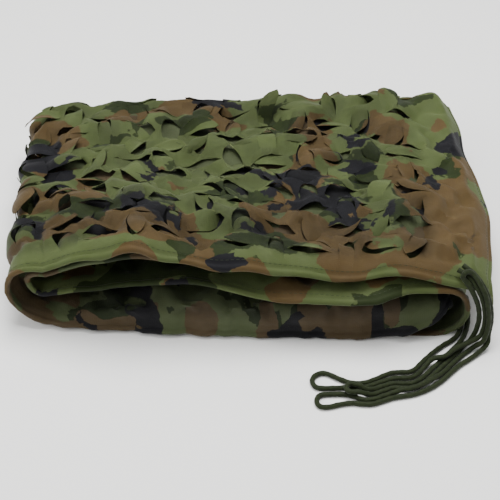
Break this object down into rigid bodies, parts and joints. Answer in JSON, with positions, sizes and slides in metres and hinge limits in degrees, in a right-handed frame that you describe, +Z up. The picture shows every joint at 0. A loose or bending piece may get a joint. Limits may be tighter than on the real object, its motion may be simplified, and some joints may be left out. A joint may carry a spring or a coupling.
{
  "type": "folded camouflage net",
  "caption": "Leaf-cut woodland camouflage net, folded once lengthwise and back and forth, with the slack of its hem cord in a skein at one corner.",
  "frame": {"origin": "under the middle of the folded net, without its cord, on the surface that it lies on", "axes": "+X along the long side, +Y from the open hems to the lengthwise fold at the back, +Z up"},
  "size_m": [0.4271, 0.3746, 0.105],
  "materials": {
    "camouflage_cloth": "matt woven polyester with a printed woodland pattern",
    "cord_braid": "matt braided polyester"
  },
  "bodies": {
    "root": {"net_cloth": "camouflage_cloth", "draw_cord": "cord_braid"}
  },
  "joints": []
}
